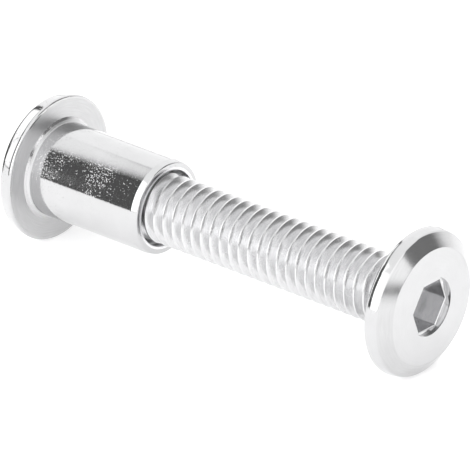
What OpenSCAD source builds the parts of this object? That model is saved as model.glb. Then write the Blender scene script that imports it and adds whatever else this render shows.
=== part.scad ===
// Furniture connector: a flat-headed hex socket bolt screwed part-way into a flanged sleeve nut.
// Both pieces are drawn as they are turned, on one upright axis that starts at the nut's clamping face.
// They are then laid on the rims of their two heads, with the axis along X.

/* [Heads] */
// Outside diameter of both heads
head_d = 12.55; // [11.5:0.05:16]
// Height of the rim from the clamping face to the bevel
rim_h = 1.2; // [1:0.05:1.6]
// Step from the rim's upright band in to the end of its taper
taper_step = 0.14; // [0.04:0.02:0.3]
// Width of the bevel, measured across the head
bevel_w = 1.14; // [0.5:0.02:1.6]
// Height of the bevel above the rim
bevel_h = 0.8; // [0.5:0.05:1.2]
// Rounding of the edge between the rim and the bevel
bevel_edge_r = 0.3; // [0.05:0.05:0.4]
// Rounding of the edge between the bevel and the face
face_edge_r = 0.12; // [0.05:0.01:0.2]

/* [Hex sockets] */
// Width of both sockets across their flats
socket_af = 4; // [3:0.1:4.2]
// Depth of the sockets' straight walls
socket_h = 2.7; // [2:0.1:3.2]
// Height of the cone that ends the sockets
socket_cone_h = 0.45; // [0.2:0.05:0.6]
// Diameter of the round seat pressed in about the sockets
seat_d = 5; // [4.9:0.05:6]
// Depth of the seat on the axis
seat_h = 0.18; // [0.1:0.02:0.4]
// Tilt of the bolt's seat, which is deepest beside one flat
seat_tilt = 5.3; // [0:0.1:8]
// Turn of the bolt's socket about the axis
bolt_turn = 25; // [0:1:60]
// Turn of the nut's socket about the axis
nut_turn = 10; // [0:1:60]

/* [Bolt] */
// Height of the upright band of the bolt's rim, beside the clamping face
bolt_band_h = 0.62; // [0.45:0.01:0.7]
// Rounding of the bolt's rim at the clamping face
bolt_edge_r = 0.34; // [0.1:0.02:0.4]
// Length of the bolt under its head
bolt_l = 30; // [20:0.5:45]
// Outside diameter of the bolt's thread
thread_d = 5.9; // [5.6:0.05:6.1]
// Rise of the thread in one turn
thread_pitch = 1; // [0.75:0.05:1.25]
// Turn of the thread about the axis
thread_turn = 288; // [0:1:360]
// Diameter of the plain neck where the thread runs out under the head
neck_d = 6; // [5.8:0.05:6.4]
// Length of the neck past the end of the socket
neck_cover = 0.55; // [0.5:0.05:2]
// Rounding between the neck and the head
neck_fillet_r = 0.2; // [0.05:0.05:0.4]
// Step from the thread's core in to the rim of the bolt's flat end
tip_step = 0.25; // [0.05:0.05:0.8]

/* [Sleeve nut] */
// Height of the upright band of the nut's rim, beside the clamping face
nut_band_h = 0.28; // [0.22:0.01:0.7]
// Rounding of the nut's rim at the clamping face
nut_edge_r = 0.16; // [0.05:0.01:0.2]
// Outside diameter of the barrel
barrel_d = 8.1; // [7.8:0.05:9]
// Length of the barrel from the clamping face to its mouth
barrel_l = 11.8; // [10:0.1:16]
// Height of the taper that leads the barrel's mouth into its hole
lead_h = 0.6; // [0.3:0.05:1]
// Step from the barrel in to the end of the lead taper
lead_step = 0.11; // [0.05:0.01:0.3]
// Rounding of the lead taper's edge at the mouth
lead_edge_r = 0.15; // [0.05:0.05:0.25]
// Reach of the conical collar past the barrel, along the clamping face
collar_w = 0.4; // [0.1:0.05:0.6]
// Height of the conical collar
collar_h = 0.25; // [0.1:0.05:0.6]
// Step from the bore out to the clear entry at the mouth
entry_step = 0.25; // [0.1:0.05:0.4]
// Depth of the clear entry
entry_h = 0.8; // [0.4:0.1:1.5]
// Angle of the drilled cone that ends the bore
drill_angle = 118; // [100:1:140]
// Thickness of the web between the bore and the nut's socket
web_h = 0.8; // [0.6:0.1:1.6]

/* [Fit] */
// Length of the bolt inside the sleeve as it is set
engaged_l = 4.35; // [2:0.05:7]
// Gap between the thread's crests and the bore, all round
thread_gap = 0.1; // [0.05:0.01:0.2]

/* [Hidden] */
$fn = 96;
head_h = rim_h + bevel_h;
bevel_d = head_d - 2 * taper_step;
face_d = bevel_d - 2 * bevel_w;
socket_reach = socket_h + socket_cone_h - head_h;
neck_l = socket_reach + neck_cover;
grip_l = barrel_l + bolt_l - engaged_l;
bore_d = thread_d + 2 * thread_gap;
bore_point = socket_reach + web_h;
bore_floor = bore_point + bore_d / 2 / tan(drill_angle / 2);
entry_d = bore_d + 2 * entry_step;
lead_d = barrel_d - 2 * lead_step;
collar_d = barrel_d + 2 * collar_w;
// Metric thread: flanks at 60 degrees, flat crests an eighth of the pitch wide
flank_angle = 30;
thread_h = 17 / 24 * thread_pitch * cos(flank_angle);
core_d = thread_d - 2 * thread_h;
tip_d = core_d - 2 * tip_step;
flank_w = thread_h * tan(flank_angle);
crest_w = thread_pitch / 8;
thread_sides = 24;
// Length by which the threaded solid runs on inside the neck
thread_lap = 0.25;
// Steps in each rounded corner of a turned outline
corner_steps = 4;
// Overshoot of the cuts past the faces they open
cut_lap = 0.1;

function unit(v) = v / norm(v);
// Arc of radius r that rounds the corner b of the line a, b, c
function corner_arc(a, b, c, r) =
    let (
        to_a = unit(a - b),
        to_c = unit(c - b),
        half = acos(to_a * to_c) / 2,
        centre = b + unit(to_a + to_c) * r / sin(half),
        first = b + to_a * r / tan(half) - centre,
        last = b + to_c * r / tan(half) - centre,
        start = atan2(first[1], first[0]),
        sweep = atan2(first[0] * last[1] - first[1] * last[0], first * last)
    )
    [for (i = [0:corner_steps])
        let (angle = start + sweep * i / corner_steps)
        centre + r * [cos(angle), sin(angle)]];
// Outline through corners of [distance from the axis, height, rounding]
function outline(corners) =
    let (
        n = len(corners),
        spots = [for (corner = corners) [corner[0], corner[1]]]
    )
    [for (i = [0:n - 1])
        each corners[i][2] > 0
            ? corner_arc(spots[(i + n - 1) % n], spots[i], spots[(i + 1) % n], corners[i][2])
            : [spots[i]]];
module turned(corners) {
    rotate_extrude() polygon(outline(corners));
}

// Lays the upright pieces on their rims, with the middle of the grip over the origin
module lay_down() {
    translate([-grip_l / 2, 0, head_d / 2]) rotate([0, 90, 0]) children();
}

// Socket for a hex key, sunk into a face at height zero, in a round seat that may tilt towards a flat
module hex_socket(turn, tilt) {
    rotate(turn) translate([0, 0, -socket_h]) {
        cylinder(h = socket_h + cut_lap, d = socket_af / cos(30), $fn = 6);
        translate([0, 0, -socket_cone_h]) cylinder(h = socket_cone_h, d1 = 0, d2 = socket_af);
    }
    rotate(turn + 30) rotate([0, tilt, 0]) translate([0, 0, -seat_h])
        cylinder(h = seat_h + seat_d / 2 * tan(tilt) + cut_lap, d = seat_d);
}

// Neck and head of the bolt, with the clamping face at height zero
module bolt_head() {
    turned([
        [0, -neck_l, 0],
        [neck_d / 2, -neck_l, 0],
        [neck_d / 2, 0, neck_fillet_r],
        [head_d / 2, 0, bolt_edge_r],
        [head_d / 2, bolt_band_h, 0],
        [bevel_d / 2, rim_h, bevel_edge_r],
        [face_d / 2, head_h, face_edge_r],
        [0, head_h, 0]
    ]);
}

// One closed solid from the bolt's flat end to inside its neck, with the thread as a true helix.
// Each side of the shank is a column of rows, four to a turn, and every next column starts a little higher.
module threaded_shank(bottom, top) {
    turns = ceil((top - bottom) / thread_pitch) + 2;
    rows = 4 * turns;
    starts = [0, flank_w, flank_w + crest_w, 2 * flank_w + crest_w];
    core_r = core_d / 2;
    radii = [core_r, thread_d / 2, thread_d / 2, core_r];
    function row_z(side, row) =
        let (z = bottom + (floor(row / 4) - 1 + side / thread_sides) * thread_pitch + starts[row % 4])
        min(max(z, bottom), top);
    // The tip and the run-out are cones of 45 degrees
    function row_r(z, row) =
        min(radii[row % 4], tip_d / 2 + z - bottom, core_r - thread_lap / 2 + top - z);
    points = [for (side = [0:thread_sides - 1], row = [0:rows - 1])
        let (z = row_z(side, row), r = row_r(z, row), angle = 360 * side / thread_sides)
        [r * cos(angle), r * sin(angle), z]];
    // The column after the last is the first one, a turn further up
    function at(side, row) = side < thread_sides ? side * rows + row : min(row + 4, rows - 1);
    function apart(a, b) = norm(points[a] - points[b]) > 0;
    walls = [for (side = [0:thread_sides - 1], row = [0:rows - 2])
        let (
            low = at(side, row),
            high = at(side, row + 1),
            next_low = at(side + 1, row),
            next_high = at(side + 1, row + 1)
        )
        each [[low, high, next_high], [low, next_high, next_low]]];
    ends = [
        [for (side = [0:thread_sides - 1]) at(side, 0)],
        [for (side = [thread_sides - 1:-1:0]) at(side, rows - 1)]
    ];
    polyhedron(
        points,
        concat(
            [for (f = walls) if (apart(f[0], f[1]) && apart(f[1], f[2]) && apart(f[2], f[0])) f],
            ends
        )
    );
}

module connector_bolt() {
    color("silver") lay_down() translate([0, 0, grip_l]) {
        difference() {
            bolt_head();
            translate([0, 0, head_h]) hex_socket(bolt_turn, seat_tilt);
        }
        rotate(thread_turn) threaded_shank(-bolt_l, thread_lap - neck_l);
    }
}

module sleeve_nut() {
    color("gainsboro") lay_down() difference() {
        turned([
            [0, -head_h, 0],
            [face_d / 2, -head_h, face_edge_r],
            [bevel_d / 2, -rim_h, bevel_edge_r],
            [head_d / 2, -nut_band_h, 0],
            [head_d / 2, 0, nut_edge_r],
            [collar_d / 2, 0, 0],
            [barrel_d / 2, collar_h, 0],
            [barrel_d / 2, barrel_l - lead_h, 0],
            [lead_d / 2, barrel_l, lead_edge_r],
            [entry_d / 2, barrel_l, 0],
            [entry_d / 2, barrel_l - entry_h, 0],
            [bore_d / 2, barrel_l - entry_h - entry_step, 0],
            [bore_d / 2, bore_floor, 0],
            [0, bore_point, 0]
        ]);
        translate([0, 0, -head_h]) mirror([0, 0, 1]) hex_socket(nut_turn, 0);
    }
}

connector_bolt();
sleeve_nut();
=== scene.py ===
import math

import bmesh
import bpy
from mathutils import Matrix, Vector


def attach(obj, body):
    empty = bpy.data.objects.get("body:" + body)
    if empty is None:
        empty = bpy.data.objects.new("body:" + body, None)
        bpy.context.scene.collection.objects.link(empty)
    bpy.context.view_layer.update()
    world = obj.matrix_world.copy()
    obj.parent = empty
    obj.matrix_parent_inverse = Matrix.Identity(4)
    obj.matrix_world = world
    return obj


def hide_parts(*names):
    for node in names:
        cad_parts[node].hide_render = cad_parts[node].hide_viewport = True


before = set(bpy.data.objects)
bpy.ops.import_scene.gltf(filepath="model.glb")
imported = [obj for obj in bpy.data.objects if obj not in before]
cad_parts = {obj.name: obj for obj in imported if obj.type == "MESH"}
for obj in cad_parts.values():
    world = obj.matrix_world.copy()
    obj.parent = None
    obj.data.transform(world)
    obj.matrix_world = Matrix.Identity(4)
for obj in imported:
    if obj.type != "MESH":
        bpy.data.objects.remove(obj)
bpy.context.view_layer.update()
print("frame loaded", sorted(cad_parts))

# Sizes shared by both pieces, in millimetres
head = {
    "diameter": 12.55,
    "rim": 1.2,
    "taperStep": 0.14,
    "bevel": 0.8,
    "bevelWidth": 1.14,
    "faceRounding": 0.12,
    "faceRing": 0.3,  # outer part of the face, turned with the head
}
head["height"] = head["rim"] + head["bevel"]
head["bevelRadius"] = head["diameter"] / 2 - head["taperStep"]
head["faceRadius"] = head["bevelRadius"] - head["bevelWidth"]
head["turnedRadius"] = head["faceRadius"] - head["faceRing"]

socket = {
    "flats": 4.0,
    "depth": 2.7,
    "cone": 0.45,
    "faceRadius": 4.2,  # inner part of the face, made with the socket
    "seatRadius": 2.5,
    "seat": 0.18,
    "edge": 0.06,
    "cornerRounding": 0.08,
    "cornerSteps": 4,
    "flatSteps": 12,
    "floorRadius": 1.96,
    "tipRadius": 0.05,
}

fit = {"grip": 37.45}  # between the two clamping faces

turning = {"steps": 168, "arcSteps": 6, "sharpAngle": math.radians(28), "weld": 0.0005}

# Pieces are drawn upright from the nut's clamping face, then laid on their rims
millimetre = 0.001
layDown = (
    Matrix.Scale(millimetre, 4)
    @ Matrix.Translation((-fit["grip"] / 2, 0, head["diameter"] / 2))
    @ Matrix.Rotation(math.radians(90), 4, "Y")
)


def cornerArc(before, corner, after, radius):
    toBefore = (before - corner).normalized()
    toAfter = (after - corner).normalized()
    half = toBefore.angle(toAfter) / 2
    centre = corner + (toBefore + toAfter).normalized() * radius / math.sin(half)
    first = corner + toBefore * radius / math.tan(half) - centre
    last = corner + toAfter * radius / math.tan(half) - centre
    start = math.atan2(first.y, first.x)
    sweep = math.atan2(first.x * last.y - first.y * last.x, first.dot(last))
    steps = turning["arcSteps"]
    angles = [start + sweep * i / steps for i in range(steps + 1)]
    return [centre + Vector((math.cos(a), math.sin(a))) * radius for a in angles]


# A corner is (distance from the axis, height, rounding)
def outline(corners):
    spots = [Vector(c[:2]) for c in corners]
    points = []
    for i, corner in enumerate(corners):
        if corner[2] > 0:
            points += cornerArc(spots[i - 1], spots[i], spots[i + 1], corner[2])
        else:
            points.append(spots[i])
    return points


def spinOutline(bm, corners):
    verts = [bm.verts.new((p.x, 0, p.y)) for p in outline(corners)]
    edges = [bm.edges.new(pair) for pair in zip(verts, verts[1:])]
    bmesh.ops.spin(
        bm,
        geom=verts + edges,
        cent=(0, 0, 0),
        axis=(0, 0, 1),
        angle=2 * math.pi,
        steps=turning["steps"],
        use_merge=True,
    )


def flatPoints(start, end):
    steps = socket["flatSteps"]
    return [start.lerp(end, i / steps) for i in range(1, steps)]


def hexOutline():
    apothem = socket["flats"] / 2
    rounding = socket["cornerRounding"]
    inner = (apothem - rounding) / math.cos(math.radians(30))
    points = []
    for corner in range(6):
        middle = math.radians(60 * corner)
        centre = Vector((inner * math.cos(middle), inner * math.sin(middle)))
        arc = []
        for i in range(socket["cornerSteps"] + 1):
            a = middle + math.radians(-30 + 60 * i / socket["cornerSteps"])
            arc.append(centre + Vector((math.cos(a), math.sin(a))) * rounding)
        if points:
            points += flatPoints(points[-1], arc[0])
        points += arc
    points += flatPoints(points[-1], points[0])
    return points


# Each ring is extruded from the one before it and then moved to its own place
def extrudeRings(bm, rings):
    verts = [bm.verts.new(p) for p in rings[0]]
    edges = [bm.edges.new((verts[i - 1], verts[i])) for i in range(len(verts))]
    for ring in rings[1:]:
        grown = bmesh.ops.extrude_edge_only(bm, edges=edges)["geom"]
        edges = [part for part in grown if isinstance(part, bmesh.types.BMEdge)]
        verts = [part for part in grown if isinstance(part, bmesh.types.BMVert)]
        for vert, spot in zip(verts, ring):
            vert.co = spot
    bmesh.ops.contextual_create(bm, geom=edges)


# Hex socket sunk from a face at height zero, with the part of the face that lies round it.
# Its round seat tilts towards one flat and runs out into the face at the other side.
def addHexSocket(bm, turn, tilt):
    spin = Matrix.Rotation(math.radians(turn), 2)
    shape = [spin @ p for p in hexOutline()]
    toFlat = Vector((math.cos(math.radians(turn + 30)), math.sin(math.radians(turn + 30))))
    slope = math.tan(math.radians(tilt))

    def seatDepth(p):
        return max(0, socket["seat"] + slope * p.dot(toFlat))

    def roundRing(radius, height):
        return [(*(p.normalized() * radius), height) for p in shape]

    faceRadius, seatRadius = socket["faceRadius"], socket["seatRadius"]
    lip = [p.normalized() * seatRadius for p in shape]
    edge = [p * (1 + socket["edge"] / p.length) for p in shape]
    floor = -socket["depth"]
    extrudeRings(bm, [
        roundRing(faceRadius, 0),
        roundRing((faceRadius + seatRadius) / 2, 0),
        roundRing(seatRadius, 0),
        [(*p, -seatDepth(p)) for p in lip],
        [(*p, -seatDepth(p)) for p in edge],
        [(*p, -seatDepth(p) - socket["edge"]) for p in shape],
        [(*p, floor) for p in shape],
        roundRing(socket["floorRadius"], floor),
        roundRing(socket["tipRadius"], floor - socket["cone"]),
    ])


def joinInto(bm, other, matrix):
    other.transform(matrix)
    carrier = bpy.data.meshes.new("carrier")
    other.to_mesh(carrier)
    other.free()
    bm.from_mesh(carrier)
    bpy.data.meshes.remove(carrier)


# Welds the turned head to its socket, fills the ring between them and marks the sharp edges
def closeUp(bm):
    bmesh.ops.remove_doubles(bm, verts=bm.verts[:], dist=turning["weld"])
    rims = [e for e in bm.edges if e.is_boundary]
    bmesh.ops.triangle_fill(bm, use_beauty=True, edges=rims)
    bmesh.ops.recalc_face_normals(bm, faces=bm.faces[:])
    for face in bm.faces:
        face.smooth = True
    for edge in bm.edges:
        edge.smooth = edge.calc_face_angle(0) < turning["sharpAngle"]


def finishPiece(bm, name, body, node, material):
    bm.transform(layDown)
    mesh = bpy.data.meshes.new(name)
    bm.to_mesh(mesh)
    bm.free()
    mesh.materials.append(material)
    piece = bpy.data.objects.new(name, mesh)
    bpy.context.scene.collection.objects.link(piece)
    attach(piece, body)
    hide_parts(node)
    print(name, "has", len(mesh.polygons), "faces")


# Shader wiring: a wire is one output socket, and sums on wires make Math nodes
class Wire:
    def __init__(self, tree, output):
        self.tree = tree
        self.output = output

    def node(self, kind, output, inputs, **settings):
        made = self.tree.nodes.new(kind)
        for key, value in settings.items():
            setattr(made, key, value)
        for key, value in inputs.items():
            if isinstance(value, Wire):
                self.tree.links.new(value.output, made.inputs[key])
            else:
                made.inputs[key].default_value = value
        return Wire(self.tree, made.outputs[output])

    def math(self, operation, *values):
        return self.node("ShaderNodeMath", 0, dict(enumerate(values)), operation=operation)

    def __add__(self, other):
        return self.math("ADD", self, other)

    def __radd__(self, other):
        return self.math("ADD", other, self)

    def __sub__(self, other):
        return self.math("SUBTRACT", self, other)

    def __rsub__(self, other):
        return self.math("SUBTRACT", other, self)

    def __mul__(self, other):
        return self.math("MULTIPLY", self, other)

    def __rmul__(self, other):
        return self.math("MULTIPLY", other, self)

    def __truediv__(self, other):
        return self.math("DIVIDE", self, other)

    def __rtruediv__(self, other):
        return self.math("DIVIDE", other, self)

    def between(self, low, high):
        ramp = {0: self, 1: low, 2: high, 3: 0.0, 4: 1.0}
        return self.node("ShaderNodeMapRange", 0, ramp, interpolation_type="SMOOTHSTEP")

    def within(self, span, edge):
        first, last = span
        return self.between(first, first + edge) * (1 - self.between(last, last + edge))

    def noise(self, scale, detail=2.0):
        inputs = {"Vector": self, "Scale": scale, "Detail": detail}
        return self.node("ShaderNodeTexNoise", 0, inputs)

    def sway(self, amount):
        return amount * (self - 0.5)  # noise lies about a half


def coordinates(tree, kind):
    return Wire(tree, tree.nodes.new("ShaderNodeTexCoord").outputs[kind])


# Bright nickel on both pieces: soft clouds, fine grain, pits that gather in patches, lathe streaks.
# A zone is a span along the axis and a span of radii, in millimetres, with a roughness and lathe
# streaks of its own, and a tint that is painted light or painted shade where it differs from the
# plating's.
plating = {
    "tint": 0.56,
    "tintSpread": 0.06,
    "blueShare": 1.01,
    "roughSpread": 0.05,
    "cloudScale": 500.0,
    "grainScale": 9000.0,
    "pitScale": 8500.0,
    "pitStart": 0.7,
    "pitSize": 0.15,
    "patchScale": 380.0,
    "patchSpan": (0.35, 0.65),
    "patchShare": 0.12,
    "streakScale": 11.0,
    "streakTurn": 0.3,
    "zoneEdge": 0.05,
}


def platingMaterial(name, look):
    material = bpy.data.materials.new(name)
    material.use_nodes = True
    tree = material.node_tree
    shader = tree.nodes["Principled BSDF"]
    place = coordinates(tree, "Object")
    along, across, up = (place.node("ShaderNodeSeparateXYZ", i, {0: place}) for i in range(3))
    up = up - head["diameter"] / 2 * millimetre
    radius = place.math("SQRT", across * across + up * up) / millimetre
    along = along / millimetre
    angle = place.math("ARCTAN2", across, up)
    cloud = place.noise(plating["cloudScale"], detail=3.0)
    grain = place.noise(plating["grainScale"])
    patches = place.noise(plating["patchScale"]).between(*plating["patchSpan"])
    specks = place.noise(plating["pitScale"]) + plating["patchShare"] * patches
    pits = specks.between(plating["pitStart"], plating["pitStart"] + plating["pitSize"])
    lathe = {0: along, 1: angle * plating["streakTurn"], 2: radius}
    streaks = place.node("ShaderNodeCombineXYZ", 0, lathe).noise(plating["streakScale"])
    tint = plating["tint"] + cloud.sway(plating["tintSpread"])
    rough = look["roughness"] + grain.sway(plating["roughSpread"])
    for zone in look["zones"].values():
        inside = along.within(zone["along"], plating["zoneEdge"])
        inside = inside * radius.within(zone["radius"], plating["zoneEdge"])
        # A zone's tint above or below the plating's is painted light or painted shade on that part
        paintedLightAndShade = zone["tint"] - plating["tint"]
        rougher = zone["roughness"] - look["roughness"]
        tint = tint + inside * (paintedLightAndShade + streaks.sway(zone["streaks"]))
        rough = rough + inside * (rougher + cloud.sway(zone["roughSpread"]))
    colour = {0: tint, 1: tint, 2: tint * plating["blueShare"]}
    colour = place.node("ShaderNodeCombineColor", 0, colour)
    height = look["waves"] * cloud + look["grainHeight"] * grain - look["pitHeight"] * pits
    bump = place.node("ShaderNodeBump", 0, {"Height": height, "Strength": 1.0, "Distance": 1.0})
    tree.links.new(colour.output, shader.inputs["Base Color"])
    tree.links.new(rough.output, shader.inputs["Roughness"])
    tree.links.new(bump.output, shader.inputs["Normal"])
    shader.inputs["Metallic"].default_value = 1.0
    return material


# Connector bolt
bolt = {
    "length": 30.0,
    "threadDiameter": 5.9,
    "pitch": 1.0,
    "flankAngle": math.radians(30),
    "crestShare": 1 / 8,
    "heightShare": 17 / 24,
    "flankSteps": 5,
    "crestSteps": 3,
    "turnSteps": 72,
    "neckDiameter": 6.0,
    "neckCover": 0.55,
    "neckFillet": 0.2,
    "band": 0.62,
    "rimRounding": 0.34,
    "bandRounding": 0.6,
    "bevelRounding": 0.3,
    "tipStep": 0.25,
    "lap": 0.25,
    "threadTurn": 288,
    "socketTurn": 25,
    "socketTilt": 5.3,
    "look": {
        "roughness": 0.1,
        "waves": 0.000002,
        "grainHeight": 0.0000004,
        "pitHeight": 0.000002,
        "zones": {
            # Flanks: tint lighter than the plating, painted light on the thread
            "flanks": {
                "along": (-20.0, 17.4), "radius": (-1.0, 2.84),
                "roughness": 0.26, "roughSpread": 0.2, "tint": 0.665, "streaks": 0.25,
            },
            # Crests: tint lighter still, a painted highlight along the crests
            "crests": {
                "along": (-20.0, 17.4), "radius": (2.84, 3.2),
                "roughness": 0.24, "roughSpread": 0.1, "tint": 0.69, "streaks": 0.05,
            },
            # Socket: tint lighter than the plating, painted light in the recess
            "socket": {
                "along": (17.45, 20.5), "radius": (-1.0, 2.4),
                "roughness": 0.15, "roughSpread": 0.25, "tint": 0.63, "streaks": 0.3,
            },
            # Bevel: tint darker than the plating, painted shade for the shadowed floor it mirrors
            # near the contact
            "bevel": {
                "along": (19.95, 20.75), "radius": (4.9, 6.2),
                "roughness": 0.16, "roughSpread": 0.12, "tint": 0.53, "streaks": 0.08,
            },
            "face": {
                "along": (20.6, 21.0), "radius": (2.4, 4.85),
                "roughness": 0.16, "roughSpread": 0.1, "tint": 0.56, "streaks": 0.06,
            },
        },
    },
}
bolt["neck"] = socket["depth"] + socket["cone"] - head["height"] + bolt["neckCover"]
bolt["depth"] = bolt["heightShare"] * bolt["pitch"] * math.cos(bolt["flankAngle"])
bolt["flank"] = bolt["depth"] * math.tan(bolt["flankAngle"])
bolt["crest"] = bolt["crestShare"] * bolt["pitch"]
bolt["core"] = bolt["threadDiameter"] / 2 - bolt["depth"]


def threadOutline():
    core, crest = bolt["core"], bolt["threadDiameter"] / 2
    steps = bolt["flankSteps"]
    crestEnd = bolt["flank"] + bolt["crest"]
    points = [(core, 0.0)]
    for i in range(1, steps):
        points.append((core + bolt["depth"] * i / steps, bolt["flank"] * i / steps))
    for i in range(bolt["crestSteps"] + 1):
        points.append((crest, bolt["flank"] + bolt["crest"] * i / bolt["crestSteps"]))
    for i in range(1, steps + 1):
        points.append((crest - bolt["depth"] * i / steps, crestEnd + bolt["flank"] * i / steps))
    points.append((core, bolt["pitch"]))
    return points


# One turn is spun, stacked past both ends, cut to length and tapered to the tip and the run-out
def addThread(bm, bottom, top):
    turn = bmesh.new()
    verts = [turn.verts.new((r, 0, bottom - bolt["pitch"] + z)) for r, z in threadOutline()]
    edges = [turn.edges.new(pair) for pair in zip(verts, verts[1:])]
    bmesh.ops.spin(
        turn,
        geom=verts + edges,
        cent=(0, 0, 0),
        axis=(0, 0, 1),
        dvec=(0, 0, bolt["pitch"] / bolt["turnSteps"]),
        angle=2 * math.pi,
        steps=bolt["turnSteps"],
    )
    carrier = bpy.data.meshes.new("threadTurn")
    turn.to_mesh(carrier)
    turn.free()
    for i in range(math.ceil((top - bottom) / bolt["pitch"]) + 2):
        bm.from_mesh(carrier)
        carrier.transform(Matrix.Translation((0, 0, bolt["pitch"])))
    bpy.data.meshes.remove(carrier)
    bmesh.ops.remove_doubles(bm, verts=bm.verts[:], dist=turning["weld"])
    for height, outward in ((bottom, -1), (top, 1)):
        bmesh.ops.bisect_plane(
            bm,
            geom=bm.verts[:] + bm.edges[:] + bm.faces[:],
            plane_co=(0, 0, height),
            plane_no=(0, 0, outward),
            clear_outer=True,
        )
    tip = bolt["core"] - bolt["tipStep"]
    runOut = bolt["core"] - bolt["lap"] / 2
    for vert in bm.verts:
        radius = vert.co.xy.length
        limit = min(tip + vert.co.z - bottom, runOut + top - vert.co.z)
        if radius > limit:
            vert.co.xy *= limit / radius
    bmesh.ops.holes_fill(bm, edges=[e for e in bm.edges if e.is_boundary])
    bm.transform(Matrix.Rotation(math.radians(bolt["threadTurn"]), 4, "Z"))


def buildBolt():
    bm = bmesh.new()
    addThread(bm, -bolt["length"], bolt["lap"] - bolt["neck"])
    spinOutline(bm, [
        (0, -bolt["neck"], 0),
        (bolt["neckDiameter"] / 2, -bolt["neck"], 0),
        (bolt["neckDiameter"] / 2, 0, bolt["neckFillet"]),
        (head["diameter"] / 2, 0, bolt["rimRounding"]),
        (head["diameter"] / 2, bolt["band"], bolt["bandRounding"]),
        (head["bevelRadius"], head["rim"], bolt["bevelRounding"]),
        (head["faceRadius"], head["height"], head["faceRounding"]),
        (head["turnedRadius"], head["height"], 0),
    ])
    socketMesh = bmesh.new()
    addHexSocket(socketMesh, bolt["socketTurn"], bolt["socketTilt"])
    joinInto(bm, socketMesh, Matrix.Translation((0, 0, head["height"])))
    closeUp(bm)
    bm.transform(Matrix.Translation((0, 0, fit["grip"])))
    return bm


boltPlating = platingMaterial("boltPlating", bolt["look"])
finishPiece(buildBolt(), "connectorBolt", "bolt", "connector_bolt", boltPlating)

# Sleeve nut
nut = {
    "band": 0.28,
    "rimRounding": 0.16,
    "bandRounding": 0.3,
    "bevelRounding": 0.8,
    "barrel": 8.1,
    "length": 11.8,
    "lead": 0.6,
    "leadStep": 0.11,
    "leadRounding": 0.15,
    "collarWidth": 0.4,
    "collar": 0.25,
    "edgeRounding": 0.05,
    "bore": 6.1,
    "entryStep": 0.25,
    "entry": 0.8,
    "web": 0.8,
    "drillAngle": math.radians(118),
    "socketTurn": 10,
    "socketTilt": 0,
    "look": {
        "roughness": 0.08,
        "waves": 0.000003,
        "grainHeight": 0.000002,
        "pitHeight": 0.000011,
        "zones": {
            # Clamping face: tint darker than the plating, painted shade for the shadowed floor it
            # mirrors under the bolt
            "clampingFace": {
                "along": (-18.85, -18.65), "radius": (4.4, 6.0),
                "roughness": 0.34, "roughSpread": 0.3, "tint": 0.54, "streaks": 0.15,
            },
            # Collar: tint lighter than the plating, a painted highlight ring
            "collar": {
                "along": (-18.62, -18.4), "radius": (4.0, 4.5),
                "roughness": 0.36, "roughSpread": 0.1, "tint": 0.62, "streaks": 0.1,
            },
            # Bore and entry: tint far lighter than the plating, painted light in the hollow round
            # the thread
            "bore": {
                "along": (-18.0, -6.0), "radius": (-1.0, 3.5),
                "roughness": 0.45, "roughSpread": 0.1, "tint": 0.85, "streaks": 0.2,
            },
        },
    },
}
nut["point"] = socket["depth"] + socket["cone"] - head["height"] + nut["web"]
nut["floor"] = nut["point"] + nut["bore"] / 2 / math.tan(nut["drillAngle"] / 2)


def buildNut():
    bm = bmesh.new()
    entryRadius = nut["bore"] / 2 + nut["entryStep"]
    spinOutline(bm, [
        (head["turnedRadius"], -head["height"], 0),
        (head["faceRadius"], -head["height"], head["faceRounding"]),
        (head["bevelRadius"], -head["rim"], nut["bevelRounding"]),
        (head["diameter"] / 2, -nut["band"], nut["bandRounding"]),
        (head["diameter"] / 2, 0, nut["rimRounding"]),
        (nut["barrel"] / 2 + nut["collarWidth"], 0, nut["edgeRounding"]),
        (nut["barrel"] / 2, nut["collar"], nut["edgeRounding"]),
        (nut["barrel"] / 2, nut["length"] - nut["lead"], nut["edgeRounding"]),
        (nut["barrel"] / 2 - nut["leadStep"], nut["length"], nut["leadRounding"]),
        (entryRadius, nut["length"], nut["edgeRounding"]),
        (entryRadius, nut["length"] - nut["entry"], 0),
        (nut["bore"] / 2, nut["length"] - nut["entry"] - nut["entryStep"], 0),
        (nut["bore"] / 2, nut["floor"], 0),
        (0, nut["point"], 0),
    ])
    socketMesh = bmesh.new()
    addHexSocket(socketMesh, nut["socketTurn"], nut["socketTilt"])
    flip = Matrix.Scale(-1, 4, Vector((0, 0, 1)))
    joinInto(bm, socketMesh, Matrix.Translation((0, 0, -head["height"])) @ flip)
    closeUp(bm)
    return bm


nutPlating = platingMaterial("nutPlating", nut["look"])
finishPiece(buildNut(), "sleeveNut", "nut", "sleeve_nut", nutPlating)

# Stage: a pale floor that shows white, in a dim room
stage = {
    "floorSize": 6.0,
    "floorTint": 0.72,
    "floorGlow": 0.46,
    "fibreScale": 300.0,
    "fibreTint": 0.01,
    "room": 0.12,
}


def floorPaper():
    material = bpy.data.materials.new("floorPaper")
    material.use_nodes = True
    tree = material.node_tree
    shader = tree.nodes["Principled BSDF"]
    place = coordinates(tree, "Object")
    tint = stage["floorTint"] + stage["fibreTint"] * place.noise(stage["fibreScale"])
    colour = place.node("ShaderNodeCombineColor", 0, {0: tint, 1: tint, 2: tint})
    tree.links.new(colour.output, shader.inputs["Base Color"])
    shader.inputs["Roughness"].default_value = 1.0
    shader.inputs["Specular IOR Level"].default_value = 0.0
    shader.inputs["Emission Color"].default_value = (1, 1, 1, 1)
    shader.inputs["Emission Strength"].default_value = stage["floorGlow"]
    return material


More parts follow.
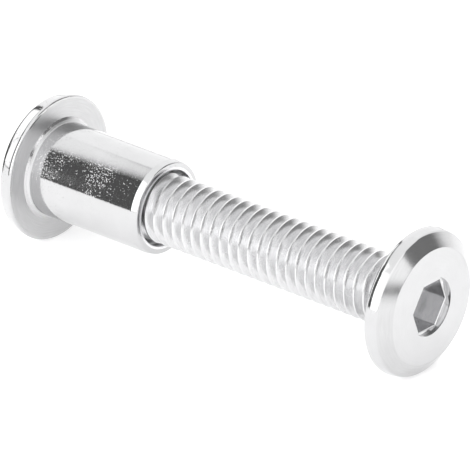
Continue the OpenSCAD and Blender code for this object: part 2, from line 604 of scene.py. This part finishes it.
def buildStage():
    bm = bmesh.new()
    bmesh.ops.create_grid(bm, x_segments=1, y_segments=1, size=stage["floorSize"] / 2)
    mesh = bpy.data.meshes.new("floor")
    bm.to_mesh(mesh)
    bm.free()
    mesh.materials.append(floorPaper())
    floor = bpy.data.objects.new("floor", mesh)
    bpy.context.scene.collection.objects.link(floor)
    world = bpy.data.worlds.new("room")
    world.use_nodes = True
    backdrop = world.node_tree.nodes["Background"]
    backdrop.inputs["Color"].default_value = (1, 1, 1, 1)
    backdrop.inputs["Strength"].default_value = stage["room"]
    bpy.context.scene.world = world


# Each soft box is an upright sheet of light, at boxDistance or at a distance of its own, in metres.
# Azimuth runs from -Y towards +X and elevation from the floor, in degrees.
# Sides and ends are the degrees over which it fades at its first and last edge, down to dim.
# A lean carries the top of a sheet's first side on by that many degrees.
# The two foot sheets are dark cards, standing close by, that draw the dark lines on rim and barrel.
boxDistance = 1.5
softboxes = {
    "leftBack": {
        "azimuth": (-166, -120), "elevation": (0.5, 68), "radiance": 1.46,
        "sides": (0, 0), "ends": (1, 4),
    },
    "left": {
        "azimuth": (-121, -44), "elevation": (51, 68), "radiance": 1.46,
        "sides": (0, 0), "ends": (4, 4),
    },
    "leftMiddle": {
        "azimuth": (-114, -66), "elevation": (16, 50), "radiance": 1.9,
        "sides": (1, 0), "ends": (3, 3),
    },
    "leftFront": {
        "azimuth": (-69, -51), "elevation": (0.5, 36), "radiance": 1.9,
        "sides": (1, 2), "ends": (1, 4),
    },
    "frontLeft": {
        "azimuth": (-31, 22), "elevation": (0.5, 58), "radiance": 2.8,
        "sides": (3, 0), "ends": (1, 16), "dim": 0.4, "lean": 9,
    },
    "rimFoot": {
        "azimuth": (-102, -68), "elevation": (0.1, 8.5), "radiance": 0.05,
        "sides": (0, 0), "ends": (0, 0), "distance": 0.06,
    },
    "frontTop": {
        "azimuth": (-47, -14), "elevation": (45, 66), "radiance": 2.2,
        "sides": (3, 0), "ends": (0, 0), "dim": 0.6, "distance": 0.6,
    },
    "gapFoot": {
        "azimuth": (-50, -33), "elevation": (0.1, 3), "radiance": 0.12,
        "sides": (0, 0), "ends": (0, 0), "distance": 0.15,
    },
    "frontRight": {
        "azimuth": (18, 67), "elevation": (0.5, 60), "radiance": 1.75,
        "sides": (0, 0), "ends": (1, 4),
    },
    "rightLow": {
        "azimuth": (62, 102), "elevation": (-0.5, 7), "radiance": 1.3,
        "sides": (0, 0), "ends": (0, 2),
    },
    "right": {
        "azimuth": (63, 105), "elevation": (7, 60), "radiance": 1.65,
        "sides": (0, 1), "ends": (7, 4), "dim": 0.05,
    },
    "backRightLow": {
        "azimuth": (101, 130), "elevation": (-0.5, 19), "radiance": 1.0,
        "sides": (0, 4), "ends": (0, 8),
    },
    "backRight": {
        "azimuth": (104, 150), "elevation": (9, 60), "radiance": 0.27,
        "sides": (0, 0), "ends": (1, 4),
    },
    "back": {
        "azimuth": (145, 198), "elevation": (-0.5, 60), "radiance": 1.35,
        "sides": (20, 0), "ends": (0, 4), "dim": 0.2,
    },
}
overhead = {"height": 1.5, "size": 2.0, "radiance": 1.37}
sharpestFade = 0.001  # share of a sheet, where a fade is given as none


def lightMaterial(name, radiance, fades, dim):
    material = bpy.data.materials.new(name)
    material.use_nodes = True
    tree = material.node_tree
    tree.nodes.remove(tree.nodes["Principled BSDF"])
    spread = coordinates(tree, "UV")
    fadeOver = []
    for i, (first, last) in enumerate(fades):
        run = spread.node("ShaderNodeSeparateXYZ", i, {0: spread})
        fadeIn = run.between(0.0, max(first, sharpestFade))
        fadeOver.append(fadeIn * (1 - run).between(0.0, max(last, sharpestFade)))
    level = dim + (1 - dim) * (fadeOver[0] * fadeOver[1])
    colour = spread.node("ShaderNodeCombineColor", 0, {0: level, 1: level, 2: level})
    glow = spread.node("ShaderNodeEmission", 0, {"Color": colour, "Strength": radiance})
    tree.links.new(glow.output, tree.nodes["Material Output"].inputs["Surface"])
    return material


def sheetOfLight(name, corners, material):
    bm = bmesh.new()
    face = bm.faces.new([bm.verts.new(c) for c in corners])
    uv = bm.loops.layers.uv.new("sheet")
    for loop, spot in zip(face.loops, ((0, 0), (1, 0), (1, 1), (0, 1))):
        loop[uv].uv = spot
    mesh = bpy.data.meshes.new(name)
    bm.to_mesh(mesh)
    bm.free()
    mesh.materials.append(material)
    sheet = bpy.data.objects.new(name, mesh)
    sheet.visible_camera = False
    sheet.visible_shadow = False
    bpy.context.scene.collection.objects.link(sheet)


def buildSoftbox(name, box):
    first, last = (math.radians(a) for a in box["azimuth"])
    distance = box.get("distance", boxDistance)
    low, high = (distance * math.tan(math.radians(e)) for e in box["elevation"])
    middle, half = (first + last) / 2, (last - first) / 2
    outward = Vector((math.sin(middle), -math.cos(middle), 0)) * distance
    sideways = Vector((math.cos(middle), math.sin(middle), 0)) * distance * math.tan(half)
    leaning = -math.tan(half + math.radians(box.get("lean", 0.0))) / math.tan(half)
    corners = [
        outward + sideways * side + Vector((0, 0, height))
        for side, height in ((-1, low), (1, low), (1, high), (leaning, high))
    ]
    sides = [fade / math.degrees(2 * half) for fade in box["sides"]]
    ends = [fade / (box["elevation"][1] - box["elevation"][0]) for fade in box["ends"]]
    material = lightMaterial(name, box["radiance"], (sides, ends), box.get("dim", 0.0))
    sheetOfLight(name, corners, material)


def buildOverhead():
    half = overhead["size"] / 2
    corners = [
        Vector((x * half, y * half, overhead["height"]))
        for x, y in ((-1, -1), (1, -1), (1, 1), (-1, 1))
    ]
    evenly = ((0, 0), (0, 0))  # no fade on any side
    material = lightMaterial("overhead", overhead["radiance"], evenly, 1.0)
    sheetOfLight("overhead", corners, material)


buildStage()
for name, box in softboxes.items():
    buildSoftbox(name, box)
buildOverhead()
print("stage and lights ready")

# Camera at the photo's angle: a long lens that looks down past the bolt's head
camera = {
    "place": (0.328264, -0.392179, 0.262176),
    "right": (0.76711081, 0.64151462, 0.0),
    "up": (-0.2872669, 0.34350822, 0.89413636),
    "lens": 537.255,
    "sensor": 36.0,
    "clip": (0.01, 20.0),
}
bounces = {"all": 20, "glossy": 16}  # the socket's walls mirror each other many times


def buildCamera():
    data = bpy.data.cameras.new("photoCamera")
    data.lens = camera["lens"]
    data.sensor_width = camera["sensor"]
    data.clip_start, data.clip_end = camera["clip"]
    right, up = Vector(camera["right"]), Vector(camera["up"])
    turn = Matrix((right, up, right.cross(up))).transposed().to_4x4()
    lensBody = bpy.data.objects.new("photoCamera", data)
    lensBody.matrix_world = Matrix.Translation(camera["place"]) @ turn
    bpy.context.scene.collection.objects.link(lensBody)
    bpy.context.scene.camera = lensBody


buildCamera()
bpy.context.scene.view_settings.view_transform = "Standard"
bpy.context.scene.cycles.max_bounces = bounces["all"]
bpy.context.scene.cycles.glossy_bounces = bounces["glossy"]
print("camera ready")
